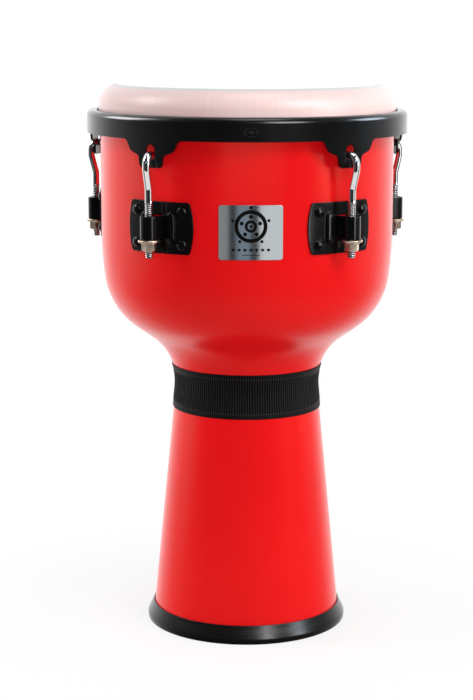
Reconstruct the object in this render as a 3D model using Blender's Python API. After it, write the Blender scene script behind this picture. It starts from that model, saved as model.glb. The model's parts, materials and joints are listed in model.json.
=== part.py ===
"""A mechanically tuned djembe: goblet shell, synthetic head, counterhoop and five tuning hooks.

Metres, +Z up. The origin is the centre of the playing surface, and the badge faces -Y. Meshes are
built on a floor at zero, where a profile is a list of (radius, height) points in millimetres, and
add() lowers every object by HEAD_TOP. An angle is measured from the front, counter-clockwise as
seen from above.
"""

import math

import bmesh
import bpy
from mathutils import Matrix, Vector

MM = 0.001

# --- Driving dimensions, in millimetres ---------------------------------------------------------
LUGS = 5                # tuning points round the rim
AROUND = 40             # columns in a full turn; a multiple of 2 * LUGS keeps lugs on a column
GAP = 0.3               # air left between two pieces that rest on each other
HEAD_TOP = 602.0        # playing surface above the floor

# Shell: outer corner points, each with the radius that rounds it
SHELL_WALL = 6.0
SHELL_R = 160.0         # outside radius of the bowl
SHELL_TOP = 600.8
SHELL_BOTTOM = 3.5
SHELL_CORNERS = (
    (105.2, SHELL_BOTTOM, 0),
    (75.6, 304.0, 65.4),
    (152.2, 357.4, 79.0),
    (SHELL_R, 418.5, 394.0),
    (SHELL_R, 548.0, 0),
    (158.6, SHELL_TOP, 22.3),
    (136.0, SHELL_TOP, 0),
)

# Head
FILM = 0.8
SKIRT_R = 161.6         # middle of the film where the collar ends
SKIRT_BOTTOM = 556.0
FLESH_RING = ((162.4, 560.6), (170.7, 569.2))   # inner lower and outer upper corner

# Counterhoop
HOOP_SHEET = 2.5
HOOP_R = 174.4          # outside radius of the band
HOOP_BOTTOM = 549.7
HOOP_CORNER = 573.5     # height where the middles of the band and of the top flange would meet
HOOP_ROLL = 4.6         # bend radius of the sheet's middle there
HOOP_LIP = (164.2, 571.3)
EAR_BOTTOM = 521.4
EAR_CORNERS = (         # half an ear: distance from its middle, height, rounding
    (0.0, EAR_BOTTOM, 0),
    (14.3, EAR_BOTTOM, 4.6),
    (15.3, 533.6, 4.0),
    (27.4, 538.2, 7.0),
    (33.6, HOOP_BOTTOM, 5.5),
    (40.5, HOOP_BOTTOM, 0),
)
EAR_HOLE_W = 11.6
EAR_HOLE_TOP = 545.0

# Tuning hook
ROD_R = 177.2           # distance of the threaded rod's axis from the drum's axis
ROD_D = 8.0
THREAD_D = 7.4          # the M8 thread stands in as a plain cylinder near its mean diameter
ROD_TIP = 428.6
THREAD_TOP = 486.0
HOOK_R = 182.2          # axis of the rod outside the ear
HOOK_AXIS_Z = 534.3     # axis of the rod where it crosses the ear
HOOK_END_TURN = 55.0    # degrees that the hook's end turns down behind the ear

# Lug bracket
BRACKET_Z = 459.3       # middle of the plate and of its rivets
PLATE_SHEET = 2.4
PLATE_H = 53.8
PLATE_W = 82.2          # at the middle of the bulging sides
PLATE_CORNER_W = 73.4
LOOP_OUT = 9.2          # outside radius of the loop round the rod
LOOP_IN = 6.9
LOOP_LOW = 448.3
LOOP_HIGH = 472.3
RIB_W = 9.4
RIB_H = 32.0
RIB_RISE = 3.8
RIB_X = 16.4
RIVET_X = 28.5
RIVET_Z = 17.0

# Rivet, washer, nut and backing plate
RIVET_SHANK_R = 2.5
RIVET_HOLE_R = 2.9
RIVET_HEAD = (5.8, 3.8)     # radius, height
RIVET_TAIL = (4.2, 2.0)
RIVET_SIDES = 8
WASHER = (11.4, 4.3, 2.7)   # outer radius, hole radius, thickness
NUT_FLATS = 14.0
NUT_H = 8.8
NUT_FLANGE = (8.8, 1.5)     # radius, thickness
NUT_BORE_R = 4.0
BACKING = (72.0, 48.0, 2.0)  # width, height, thickness
BACKING_GAP = 0.6           # behind it, where the shell's wall starts to curve in

# Badge, waist band and foot
BADGE = (66.0, 56.4, 0.8)   # width, height, thickness
BADGE_Z = 456.9
BADGE_ROUND = 3.0
BAND = (244.4, 293.4, 1.4)  # lower edge, upper edge, thickness
FOOT_CORNERS = (
    (98.6, 3.1, 0),
    (105.6, 3.1, 0),
    (103.9, 19.9, 0),
    (105.2, 19.9, 0),
    (111.8, 5.0, 0),
    (110.9, 0.0, 1.8),
    (96.0, 0.0, 1.5),
    (96.0, 14.0, 0),
    (97.6, 14.0, 0),
)


# --- Outlines -----------------------------------------------------------------------------------
def rounded(corners, step=24.0, longest=18.0):
    """Points of a line through (x, y, radius) corners, with an arc of that radius at each.

    One side of an arc turns by no more than step degrees and is not much longer than longest.
    """
    points = []
    for i, (x, y, radius) in enumerate(corners):
        here = Vector((x, y))
        if radius == 0 or i in (0, len(corners) - 1):
            points.append(here)
            continue
        before = (Vector(corners[i - 1][:2]) - here).normalized()
        after = (Vector(corners[i + 1][:2]) - here).normalized()
        turn = math.pi - before.angle(after)
        start = here + before * radius * math.tan(turn / 2)
        centre = here + (before + after).normalized() * radius / math.cos(turn / 2)
        way = 1 if before.x * after.y - before.y * after.x < 0 else -1
        count = max(math.ceil(math.degrees(turn) / step), math.ceil(radius * turn / longest))
        for n in range(count + 1):
            points.append(centre + Matrix.Rotation(way * turn * n / count, 2) @ (start - centre))
    return points


def offset(path, distance):
    """The path moved sideways, to its left where distance is positive, with mitred corners."""
    moved = []
    for i, point in enumerate(path):
        ways = []
        if i > 0:
            ways.append((point - path[i - 1]).normalized())
        if i < len(path) - 1:
            ways.append((path[i + 1] - point).normalized())
        normal = sum((Vector((-w.y, w.x)) for w in ways), Vector((0, 0))).normalized()
        moved.append(point + normal * distance / normal.dot(Vector((-ways[0].y, ways[0].x))))
    return moved


def sheet(path, left, right):
    """Closed outline of a sheet whose faces are offset from the path by left and right."""
    return offset(path, left) + offset(path, right)[::-1]


def cut_path(path, low, high):
    """The stretch of a rising path between two heights."""
    def at(height):
        for a, b in zip(path, path[1:]):
            if a.y <= height <= b.y:
                return a.lerp(b, (height - a.y) / (b.y - a.y))
        raise ValueError("height is outside the path")
    return [at(low)] + [p for p in path if low < p.y < high] + [at(high)]


# --- Meshes -------------------------------------------------------------------------------------
def polar(radius, angle, height):
    return Vector((radius * math.sin(angle), -radius * math.cos(angle), height)) * MM


def lug_angle(lug):
    """Angle of lug 0 to LUGS - 1. The front faces the middle of the gap between two lugs."""
    return (lug + 0.5) * math.tau / LUGS


def closed_mesh(bm, name):
    """Makes the bmesh a mesh with outward normals, shaded smooth except at edges over 35 degrees."""
    bmesh.ops.remove_doubles(bm, verts=bm.verts, dist=1e-6)
    bmesh.ops.recalc_face_normals(bm, faces=bm.faces)
    mesh = bpy.data.meshes.new(name)
    bm.to_mesh(mesh)
    bm.free()
    mesh.shade_smooth()
    mesh.set_sharp_from_angle(angle=math.radians(35))
    return mesh


def turned(outline, name, steps=AROUND):
    """Solid of revolution about Z from a closed outline."""
    bm = bmesh.new()
    ring = [bm.verts.new(polar(p.x, 0, p.y)) for p in outline]
    edges = [bm.edges.new((a, b)) for a, b in zip(ring, ring[1:] + ring[:1])]
    bmesh.ops.spin(bm, geom=ring + edges, axis=(0, 0, 1), cent=(0, 0, 0), steps=steps,
                   angle=math.tau, use_merge=True)
    return closed_mesh(bm, name)


def loft(rings, name):
    """Closed tube through rings that all have the same number of points, back to the first ring."""
    bm = bmesh.new()
    loops = [[bm.verts.new(p) for p in ring] for ring in rings]
    for a, b in zip(loops, loops[1:] + loops[:1]):
        for i in range(len(a)):
            j = (i + 1) % len(a)
            bm.faces.new((a[i], a[j], b[j], b[i]))
    return closed_mesh(bm, name)


def prism(outline, low, high, name):
    """Solid between two heights over an outline of (x, y) points in millimetres."""
    bm = bmesh.new()
    face = bm.faces.new([bm.verts.new((p[0] * MM, p[1] * MM, low * MM)) for p in outline])
    lifted = bmesh.ops.extrude_face_region(bm, geom=[face])["geom"]
    top = [g for g in lifted if isinstance(g, bmesh.types.BMVert)]
    bmesh.ops.translate(bm, verts=top, vec=(0, 0, (high - low) * MM))
    return closed_mesh(bm, name)


def on_facet(radius, angle):
    """Distance from the axis to the flat side, at this angle, of a turned solid of this radius."""
    half = math.pi / AROUND
    return radius * math.cos(half) / math.cos(angle % (2 * half) - half)


def bent_plate(outline, radius, thickness, height, name):
    """Plate over an (across, up) outline, wrapped round the drum at the front, its inside at radius.

    It is cut at every column of the shell, so that its facets lie along the shell's facets.
    """
    mesh = prism(outline, 0, thickness, name)
    bm = bmesh.new()
    bm.from_mesh(mesh)
    bpy.data.meshes.remove(mesh)
    pitch = math.tau / AROUND
    reach = max(abs(p[0]) for p in outline) / radius
    columns = int(reach / pitch)
    for n in range(-columns, columns + 1):
        geometry = bm.verts[:] + bm.edges[:] + bm.faces[:]
        bmesh.ops.bisect_plane(bm, geom=geometry, dist=1e-7, plane_co=(n * pitch * radius * MM, 0, 0),
                               plane_no=(1, 0, 0))
    bmesh.ops.triangulate(bm, faces=bm.faces)
    for vert in bm.verts:
        across, up, out = (c / MM for c in vert.co)
        angle = across / radius
        vert.co = polar(on_facet(radius + out, angle), angle, height + up)
    return closed_mesh(bm, name)


def radial_cylinder(bm, radius, inner, outer, angle, height, sides):
    """Adds a cylinder that points away from the drum's axis, from the inner to the outer distance."""
    middle = polar((inner + outer) / 2, angle, height)
    turn = Matrix.Rotation(angle, 4, "Z") @ Matrix.Rotation(math.pi / 2, 4, "X")
    bmesh.ops.create_cone(bm, cap_ends=True, segments=sides, radius1=radius * MM,
                          radius2=radius * MM, depth=(outer - inner) * MM,
                          matrix=Matrix.Translation(middle) @ turn)


# --- Objects ------------------------------------------------------------------------------------
def material(name, colour, roughness, metallic):
    made = bpy.data.materials.new(name)
    made.use_nodes = True
    shader = made.node_tree.nodes["Principled BSDF"]
    shader.inputs["Base Color"].default_value = (*colour, 1)
    shader.inputs["Roughness"].default_value = roughness
    shader.inputs["Metallic"].default_value = metallic
    return made


def add(name, mesh, finish=None, place=(0, 0, 0), angle=0.0):
    """Object with its mesh's floor HEAD_TOP below the origin, moved by place and turned by angle."""
    obj = bpy.data.objects.new(name, mesh)
    obj.location = Vector(place) - Vector((0, 0, HEAD_TOP * MM))
    obj.rotation_euler.z = angle
    bpy.context.scene.collection.objects.link(obj)
    if finish is not None and not mesh.materials:
        mesh.materials.append(finish)
    return obj


def add_cutter(name, mesh):
    cutter = add(name, mesh)
    cutter.hide_render = True
    cutter.display_type = "WIRE"
    return cutter


def boolean(obj, other, operation):
    modifier = obj.modifiers.new(other.name, "BOOLEAN")
    modifier.object = other
    modifier.operation = operation


def shaped_mesh(base, steps, name):
    """Mesh of base after (mesh, operation) Boolean steps; the helper objects are removed again."""
    obj = add(name + "_base", base)
    helpers = [add(f"{name}_step_{i}", mesh) for i, (mesh, _) in enumerate(steps)]
    for helper, (_, operation) in zip(helpers, steps):
        boolean(obj, helper, operation)
    graph = bpy.context.evaluated_depsgraph_get()
    mesh = bpy.data.meshes.new_from_object(obj.evaluated_get(graph))
    mesh.name = name
    for helper in [obj] + helpers:
        bpy.data.objects.remove(helper)
    return mesh


def rivet_places():
    """(x across the bracket, height) of a bracket's four rivets, from upper left round."""
    return [(x, BRACKET_Z + z) for z, x in (
        (RIVET_Z, -RIVET_X), (RIVET_Z, RIVET_X), (-RIVET_Z, RIVET_X), (-RIVET_Z, -RIVET_X))]


def rivet_cutter(inner, outer, angles, name):
    """Cylinders through every rivet hole of the brackets at these angles."""
    bm = bmesh.new()
    for angle in angles:
        for x, z in rivet_places():
            radial_cylinder(bm, RIVET_HOLE_R, inner, outer, angle + x / SHELL_R, z, RIVET_SIDES)
    return closed_mesh(bm, name)


# --- Parts of the drum's body -------------------------------------------------------------------
def shell_path():
    return rounded(SHELL_CORNERS)


def make_shell(finish):
    """One-piece shell with a rolled-in bearing edge and a hole for each rivet."""
    outline = sheet(shell_path(), 0, SHELL_WALL)
    outline[-1].y = SHELL_BOTTOM    # the wall is cut off level at the foot
    shell = add("shell", turned(outline, "shell"), finish)
    angles = [lug_angle(lug) for lug in range(LUGS)]
    holes = rivet_cutter(SHELL_R - 3 * SHELL_WALL, SHELL_R + SHELL_WALL, angles, "shell_holes")
    boolean(shell, add_cutter("shell_holes", holes), "DIFFERENCE")


def make_head_film(finish):
    """Film over the bearing edge, with a collar that runs down inside the flesh hoop."""
    middle = HEAD_TOP - FILM / 2
    bearing_r = SHELL_CORNERS[-2][0] + GAP + FILM / 2
    bearing_round = SHELL_CORNERS[-2][2] + GAP + FILM / 2
    path = rounded((
        (0, middle, 0), (bearing_r, middle, bearing_round), (SKIRT_R, 566.0, 0),
        (SKIRT_R, SKIRT_BOTTOM, 0)))
    add("head_film", turned(sheet(path, FILM / 2, -FILM / 2), "head_film"), finish)


def make_flesh_hoop(finish):
    """Metal ring that the film is gripped by, under the counterhoop's flange."""
    (inner, low), (outer, high) = FLESH_RING
    edge = 1.5
    outline = rounded((
        ((inner + outer) / 2, low, 0), (outer, low, edge), (outer, high, edge),
        (inner, high, edge), (inner, low, edge), ((inner + outer) / 2, low, 0)), step=90)
    add("flesh_hoop", turned(outline[:-1], "flesh_hoop"), finish)


def ear_outline():
    """(angle from the ear's middle, height) along the lower edge, from the middle to the band."""
    return [(p.x / HOOP_R, p.y) for p in rounded(EAR_CORNERS, step=90)]


def hoop_columns():
    """(angle, height of the lower edge) for every column of the counterhoop, in order."""
    ear = ear_outline()
    reach = ear[-1][0]
    spread = math.tau / LUGS - 2 * reach
    between = 5
    columns = []
    for lug in range(LUGS):
        middle = lug_angle(lug)
        columns += [(middle - a, z) for a, z in reversed(ear[1:])]
        columns += [(middle + a, z) for a, z in ear[1:]]
        columns += [(middle + reach + spread * n / between, HOOP_BOTTOM) for n in range(1, between)]
    return columns


def make_counterhoop(finish):
    """Pressed steel rim: a band with a rolled top flange and an ear over each lug."""
    middle = HOOP_R - HOOP_SHEET / 2
    rings = []
    for angle, bottom in hoop_columns():
        corners = ((middle, bottom, 0), (middle, HOOP_CORNER, HOOP_ROLL), (*HOOP_LIP, 0))
        path = rounded(corners, step=52)
        section = sheet(path, HOOP_SHEET / 2, -HOOP_SHEET / 2)
        rings.append([polar(p.x, angle, p.y) for p in section])
    hoop = add("counterhoop", loft(rings, "counterhoop"), finish)
    low = HOOK_AXIS_Z - ROD_D / 2 - GAP
    radius = EAR_HOLE_W / 2
    corners = ((0, low, 0), (radius, low, radius * 0.99), (radius, EAR_HOLE_TOP, radius * 0.99),
               (-radius, EAR_HOLE_TOP, radius * 0.99), (-radius, low, radius * 0.99), (0, low, 0))
    outline = [(p.x, p.y) for p in rounded(corners, step=30)[:-1]]
    bm = bmesh.new()
    for lug in range(LUGS):
        cutter = prism(outline, 0, 2 * EAR_HOLE_W, "ear_hole")
        upright = Matrix.Rotation(lug_angle(lug), 4, "Z") @ Matrix.Translation(
            (0, -(HOOP_R - EAR_HOLE_W) * MM, 0)) @ Matrix.Rotation(math.pi / 2, 4, "X")
        cutter.transform(upright)
        bm.from_mesh(cutter)
        bpy.data.meshes.remove(cutter)
    boolean(hoop, add_cutter("ear_holes", closed_mesh(bm, "ear_holes")), "DIFFERENCE")


def make_badge(finish):
    width, height, thickness = BADGE
    w, h = width / 2, height / 2
    corners = [(0, -h, 0), (w, -h, BADGE_ROUND), (w, h, BADGE_ROUND), (-w, h, BADGE_ROUND),
               (-w, -h, BADGE_ROUND), (0, -h, 0)]
    outline = rounded(corners, step=30)[:-1]
    add("badge", bent_plate(outline, SHELL_R + GAP, thickness, BADGE_Z, "badge"), finish)


def make_waist_band(finish):
    """Webbing glued round the neck, following the shell."""
    low, high, thickness = BAND
    path = cut_path(shell_path(), low, high)
    add("waist_band", turned(sheet(path, -GAP - thickness, -GAP), "waist_band"), finish)


def make_foot_ring(finish):
    """Rubber ring with a groove that the bottom edge of the shell stands in."""
    add("foot_ring", turned(rounded(FOOT_CORNERS, step=90), "foot_ring"), finish)


# --- Parts of a lug, modelled at the front and then turned into place ---------------------------
def bracket_mesh():
    """Pressed plate with a loop for the rod, a window behind the loop and a rib on each side."""
    w, h, corner = PLATE_W / 2, PLATE_H / 2, PLATE_CORNER_W / 2
    bulge = [(corner + (w - corner) * (1 - (y / h) ** 2), y) for y in (-h, -h / 2, 0, h / 2, h)]
    outline = bulge + [(-x, y) for x, y in reversed(bulge)]
    base_r = SHELL_R + GAP
    plate = bent_plate(outline, base_r, PLATE_SHEET, BRACKET_Z, "bracket_plate")
    face_r = base_r + PLATE_SHEET

    window_box = [(-LOOP_IN, -ROD_R), (LOOP_IN, -ROD_R), (LOOP_IN, -SHELL_R + 5), (-LOOP_IN, -SHELL_R + 5)]
    window = prism(window_box, LOOP_LOW, LOOP_HIGH, "window")
    root = -(base_r + PLATE_SHEET / 2)
    turn = [math.pi * n / 7 for n in range(8)]
    outer = [(LOOP_OUT * math.cos(t), -ROD_R - LOOP_OUT * math.sin(t)) for t in turn]
    inner = [(LOOP_IN * math.cos(t), -ROD_R - LOOP_IN * math.sin(t)) for t in reversed(turn)]
    loop_outline = [(LOOP_OUT, root)] + outer + [(-LOOP_OUT, root), (-LOOP_IN, root)]
    loop_outline += inner + [(LOOP_IN, root)]
    loop = prism(loop_outline, LOOP_LOW, LOOP_HIGH, "loop")

    steps = [(window, "DIFFERENCE"), (loop, "UNION")]
    for side in (-1, 1):
        steps.append((rib_mesh(side * RIB_X / face_r, face_r), "UNION"))
    steps.append((rivet_cutter(SHELL_R - 5, face_r + 5, [0.0], "bracket_holes"), "DIFFERENCE"))
    return shaped_mesh(plate, steps, "lug_bracket")


def rib_mesh(angle, face_r):
    """Rounded upright rib, with a shallow back that sinks into the plate."""
    sink = 0.4
    bm = bmesh.new()
    bmesh.ops.create_uvsphere(bm, u_segments=10, v_segments=4, radius=1.0)
    stretch = (RIB_H - RIB_W) / 2
    for vert in bm.verts:
        x, y, z = vert.co
        depth = RIB_RISE + sink if y < 0 else PLATE_SHEET / 2 - sink
        height = z * RIB_W / 2 + (stretch if z > -1e-6 else -stretch)
        vert.co = Vector((x * RIB_W / 2, y * depth, height)) * MM
    turn = Matrix.Rotation(angle, 4, "Z")
    place = Matrix.Translation(polar(face_r - sink, angle, BRACKET_Z)) @ turn
    bmesh.ops.transform(bm, matrix=place, verts=bm.verts)
    return closed_mesh(bm, "rib")


def backing_mesh():
    """Curved plate inside the shell that spreads the pull of the rivets."""
    width, height, thickness = BACKING
    w, h = width / 2, height / 2
    inside = SHELL_R - SHELL_WALL - BACKING_GAP - thickness
    plate = bent_plate([(-w, -h), (w, -h), (w, h), (-w, h)], inside, thickness, BRACKET_Z, "backing")
    cutter = rivet_cutter(inside - 5, inside + 10, [0.0], "backing_holes")
    return shaped_mesh(plate, [(cutter, "DIFFERENCE")], "backing_plate")


def rivet_mesh():
    """Domed head outside the bracket, shank through the shell, tail formed on the backing plate.

    The rivet lies along its own Z axis, head up, with its origin under the head.
    """
    head_r, head_h = RIVET_HEAD
    tail_r, tail_h = RIVET_TAIL
    face_r = SHELL_R + GAP + PLATE_SHEET + GAP
    back_r = SHELL_R - SHELL_WALL - BACKING_GAP - BACKING[2] - GAP
    grip = face_r - back_r + 0.5    # the flat sides lie a little inside their corners
    outline = [(0, head_h), (head_r * 0.7, head_h * 0.7), (head_r, 0), (RIVET_SHANK_R, 0),
               (RIVET_SHANK_R, -grip), (tail_r, -grip), (tail_r * 0.8, -grip - tail_h),
               (0, -grip - tail_h)]
    return turned([Vector(p) for p in outline], "lug_rivet", RIVET_SIDES)


def hook_path():
    """(distance from the drum's axis, height) along the rod, from its tip to the hook's end."""
    turn = math.radians(HOOK_END_TURN)
    bend = 7.0
    through = HOOP_R - HOOP_SHEET - 0.8
    knee = through - bend * math.tan(turn / 2)
    end = bend * math.tan(turn / 2) + 0.6
    return rounded((
        (ROD_R, ROD_TIP, 0), (ROD_R, THREAD_TOP, 0), (ROD_R, THREAD_TOP + 1, 0),
        (ROD_R, 500.0, 14.0), (HOOK_R, 519.0, 10.0), (HOOK_R, HOOK_AXIS_Z, 8.5),
        (knee, HOOK_AXIS_Z, bend),
        (knee - end * math.cos(turn), HOOK_AXIS_Z - end * math.sin(turn), 0)), step=30)


def hook_mesh(name):
    """Rod swept along hook_path, its origin on the axis of its thread and on the floor's height."""
    curve = bpy.data.curves.new(name, "CURVE")
    curve.dimensions = "3D"
    curve.bevel_depth = ROD_D / 2 * MM
    curve.bevel_resolution = 3
    curve.use_fill_caps = True
    path = hook_path()
    spline = curve.splines.new("POLY")
    spline.points.add(len(path) - 1)
    for point, p in zip(spline.points, path):
        point.co = (0, (ROD_R - p.x) * MM, p.y * MM, 1)
        point.radius = THREAD_D / ROD_D if p.y <= THREAD_TOP else 1.0
    obj = add(name + "_curve", curve)
    graph = bpy.context.evaluated_depsgraph_get()
    mesh = bpy.data.meshes.new_from_object(obj.evaluated_get(graph))
    bpy.data.objects.remove(obj)
    bm = bmesh.new()
    bm.from_mesh(mesh)
    bpy.data.meshes.remove(mesh)
    return closed_mesh(bm, name)


def washer_mesh():
    outer, hole, thickness = WASHER
    outline = [Vector(p) for p in (
        (hole, 0), (outer, 0), (outer, thickness), (hole, thickness))]
    return turned(outline, "hook_washer", 16)


def nut_mesh():
    """Flanged hexagon nut, its flange at the top and its origin at the middle of its lower face."""
    flange_r, flange_h = NUT_FLANGE
    corner = NUT_FLATS / 2 / math.cos(math.pi / 6)
    hexagon = [(corner * math.cos(n * math.pi / 3), corner * math.sin(n * math.pi / 3)) for n in range(6)]
    body = prism(hexagon, 0, NUT_H - flange_h / 2, "nut_body")
    flange = [Vector(p) for p in (
        (0, NUT_H - flange_h), (flange_r, NUT_H - flange_h), (flange_r, NUT_H - 0.4),
        (flange_r - 0.4, NUT_H), (0, NUT_H))]
    bore = [Vector(p) for p in ((0, -1), (NUT_BORE_R, -1), (NUT_BORE_R, NUT_H + 1), (0, NUT_H + 1))]
    steps = [(turned(flange, "nut_flange", 12), "UNION"), (turned(bore, "nut_bore", 12), "DIFFERENCE")]
    return shaped_mesh(body, steps, "tuning_nut")


def make_lugs(black, steel, chrome, nickel):
    """Bracket, backing plate, four rivets, hook, washer and nut at each lug."""
    bracket, backing, rivet = bracket_mesh(), backing_mesh(), rivet_mesh()
    hook, washer, nut = hook_mesh("tuning_hook"), washer_mesh(), nut_mesh()
    face_r = SHELL_R + GAP + PLATE_SHEET + GAP
    washer_z = LOOP_LOW - GAP - WASHER[2]
    nut_z = washer_z - GAP - NUT_H
    for lug in range(LUGS):
        number = lug + 1
        angle = lug_angle(lug)
        add(f"lug_bracket_{number}", bracket, black, angle=angle)
        add(f"backing_plate_{number}", backing, steel, angle=angle)
        add(f"tuning_hook_{number}", hook, chrome, polar(ROD_R, angle, 0), angle)
        add(f"hook_washer_{number}", washer, nickel, polar(ROD_R, angle, washer_z), angle)
        add(f"tuning_nut_{number}", nut, nickel, polar(ROD_R, angle, nut_z), angle)
        for letter, (x, z) in zip("abcd", rivet_places()):
            at = angle + x / SHELL_R
            piece = add(f"lug_rivet_{number}{letter}", rivet, black, polar(face_r, at, z), at)
            piece.rotation_euler.x = math.pi / 2


def main():
    for obj in list(bpy.data.objects):
        bpy.data.objects.remove(obj)
    red = material("red_gelcoat", (0.80, 0.015, 0.02), 0.35, 0)
    black = material("black_powder_coat", (0.012, 0.012, 0.013), 0.4, 0)
    white = material("head_film", (0.86, 0.82, 0.80), 0.35, 0)
    steel = material("plain_steel", (0.45, 0.45, 0.46), 0.35, 1)
    chrome = material("chrome", (0.85, 0.85, 0.87), 0.08, 1)
    nickel = material("yellow_zinc", (0.72, 0.60, 0.44), 0.3, 1)
    webbing = material("black_webbing", (0.015, 0.015, 0.016), 0.85, 0)
    rubber = material("black_rubber", (0.014, 0.014, 0.014), 0.6, 0)
    brushed = material("brushed_aluminium", (0.62, 0.64, 0.66), 0.3, 1)
    make_shell(red)
    make_head_film(white)
    make_flesh_hoop(steel)
    make_counterhoop(black)
    make_badge(brushed)
    make_waist_band(webbing)
    make_foot_ring(rubber)
    make_lugs(black, steel, chrome, nickel)


main()
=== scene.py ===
"""Looks for the djembe: fine meshes, materials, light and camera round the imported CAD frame.

Profiles are lists of (radius, height) in millimetres above the floor. Pieces are modelled at the
front of the drum, facing -Y, and a lug's pieces are then turned about the drum's axis into place.
"""

import json
import math

import bmesh
import bpy
import numpy as np
from mathutils import Matrix, Vector

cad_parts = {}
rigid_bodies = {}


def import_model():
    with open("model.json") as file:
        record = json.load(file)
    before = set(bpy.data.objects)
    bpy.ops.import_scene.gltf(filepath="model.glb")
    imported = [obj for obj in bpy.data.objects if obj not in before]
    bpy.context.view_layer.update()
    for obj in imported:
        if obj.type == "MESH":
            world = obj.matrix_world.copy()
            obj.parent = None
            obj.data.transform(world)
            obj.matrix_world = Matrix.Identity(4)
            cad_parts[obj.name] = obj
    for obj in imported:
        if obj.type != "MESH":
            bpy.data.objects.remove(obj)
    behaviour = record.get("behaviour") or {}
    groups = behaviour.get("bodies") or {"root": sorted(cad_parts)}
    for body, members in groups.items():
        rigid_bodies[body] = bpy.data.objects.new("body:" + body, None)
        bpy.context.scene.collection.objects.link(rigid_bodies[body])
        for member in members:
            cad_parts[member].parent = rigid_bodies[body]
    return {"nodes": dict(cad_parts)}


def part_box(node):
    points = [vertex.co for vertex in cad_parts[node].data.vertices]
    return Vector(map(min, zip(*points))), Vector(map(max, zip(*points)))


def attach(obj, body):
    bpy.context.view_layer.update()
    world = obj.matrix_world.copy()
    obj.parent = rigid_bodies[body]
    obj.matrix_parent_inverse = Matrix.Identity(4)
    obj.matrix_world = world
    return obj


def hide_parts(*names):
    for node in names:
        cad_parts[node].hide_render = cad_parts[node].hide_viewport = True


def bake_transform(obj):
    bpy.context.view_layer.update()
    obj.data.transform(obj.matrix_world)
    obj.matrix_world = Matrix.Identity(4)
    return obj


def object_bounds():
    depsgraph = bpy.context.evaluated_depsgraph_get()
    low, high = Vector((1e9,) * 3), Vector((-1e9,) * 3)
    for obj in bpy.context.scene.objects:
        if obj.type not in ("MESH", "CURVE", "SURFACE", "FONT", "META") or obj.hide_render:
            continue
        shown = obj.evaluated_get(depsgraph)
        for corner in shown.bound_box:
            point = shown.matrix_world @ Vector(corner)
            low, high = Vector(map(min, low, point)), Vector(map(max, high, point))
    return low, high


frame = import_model()
cad_low, cad_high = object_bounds()

MM = 0.001
FLOOR = cad_low.z
LUGS = sum(name.startswith("lug_bracket") for name in frame["nodes"])

# ---- Driving dimensions in millimetres, heights above the floor ----
HEAD_TOP = (cad_high.z - FLOOR) / MM
SHELL_R = 160.0
SHELL_WALL = 6.0
SHELL_CORNERS = (          # outer corner points, each with the radius that rounds it
    (105.2, 3.5, 0), (75.6, 304.0, 65.4), (152.2, 357.4, 79.0), (SHELL_R, 418.5, 393.5),
    (SHELL_R, 548.0, 0), (158.6, 600.8, 22.3), (136.0, 600.8, 0))
FILM = 0.8
FILM_BEND = (142.0, 148.4)               # radii between which the flat top turns into the collar
FILM_CORNERS = ((0, HEAD_TOP - FILM / 2, 0), (159.5, HEAD_TOP - FILM / 2, 23.0),
                (161.6, 566.0, 60.0), (161.6, 556.0, 0))
BAND_RIBS = 186
BAND_UV_R = 83.0                         # radius that turns angles into lengths in the band's UV map
HOOP_SHEET = 2.5
HOOP_R = 174.4
HOOP_BOTTOM = 549.7
HOOP_CORNER = (574.1, 5.0)               # height and bend radius of the corner under the flange
HOOP_LIP = (164.2, 572.1)
EAR_CORNERS = (            # half an ear: distance from its middle, height, rounding
    (0.0, 521.4, 0), (14.3, 521.4, 4.6), (15.3, 533.6, 5.0), (27.4, 538.2, 8.0),
    (33.6, HOOP_BOTTOM, 6.5), (42.0, HOOP_BOTTOM, 0))
EAR_HOLE = (11.6, 529.8, 545.0)          # width, lowest and highest point
ROD_R = 177.2
ROD_D = 8.0
THREAD_D = 8.3
THREAD_DEPTH = 0.8
THREAD_PITCH = 2.0
THREAD_TOP = 486.0
ROD_TIP = 428.6
HOOK_R = 182.2
HOOK_TURN = 10.0                          # degrees that the nuts have dragged each hook round its rod
HOOK_Z = 534.3
NUT_TURNS = (8.0, 22.0, 0.0, 41.0, 17.0)  # degrees, as the nuts happen to stand
BADGE_SEAT = SHELL_R + 0.1               # radius of the face that the badge is glued with
BADGE_THICK = 0.8
PLATE_SHEET = 2.2
PLATE_SEAT = SHELL_R + 0.05              # radius of the back of a bracket's plate
BACKING_THICK = 2.0
BACKING_SEAT = SHELL_R - SHELL_WALL - 2.4  # radius of a backing plate's innermost face
BRACKET_Z = 459.3
RIB_X = 16.4
LOOP_OUT = 9.2
LOOP_IN = 6.9
LOOP_LOW = 448.3
LOOP_HIGH = 472.3
RIVET_PLACES = ((-28.5, 17.0), (28.5, 17.0), (28.5, -17.0), (-28.5, -17.0))
BRACKETS = ("bracket_", "rivet_")         # first letters of the names of lit groups of pieces
FITTINGS = ("hook_", "nut_", "washer_")


# ---- Outlines ----
def rounded(corners, step=6.0, longest=6.0):
    """Points of a line through (x, y, radius) corners, with an arc of that radius at each."""
    points = []
    for i, (x, y, radius) in enumerate(corners):
        here = Vector((x, y))
        if radius == 0 or i in (0, len(corners) - 1):
            points.append(here)
            continue
        before = (Vector(corners[i - 1][:2]) - here).normalized()
        after = (Vector(corners[i + 1][:2]) - here).normalized()
        turn = math.pi - before.angle(after)
        start = here + before * radius * math.tan(turn / 2)
        centre = here + (before + after).normalized() * radius / math.cos(turn / 2)
        way = 1 if before.x * after.y - before.y * after.x < 0 else -1
        count = max(2, math.ceil(math.degrees(turn) / step), math.ceil(radius * turn / longest))
        for n in range(count + 1):
            points.append(centre + Matrix.Rotation(way * turn * n / count, 2) @ (start - centre))
    return points


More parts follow.
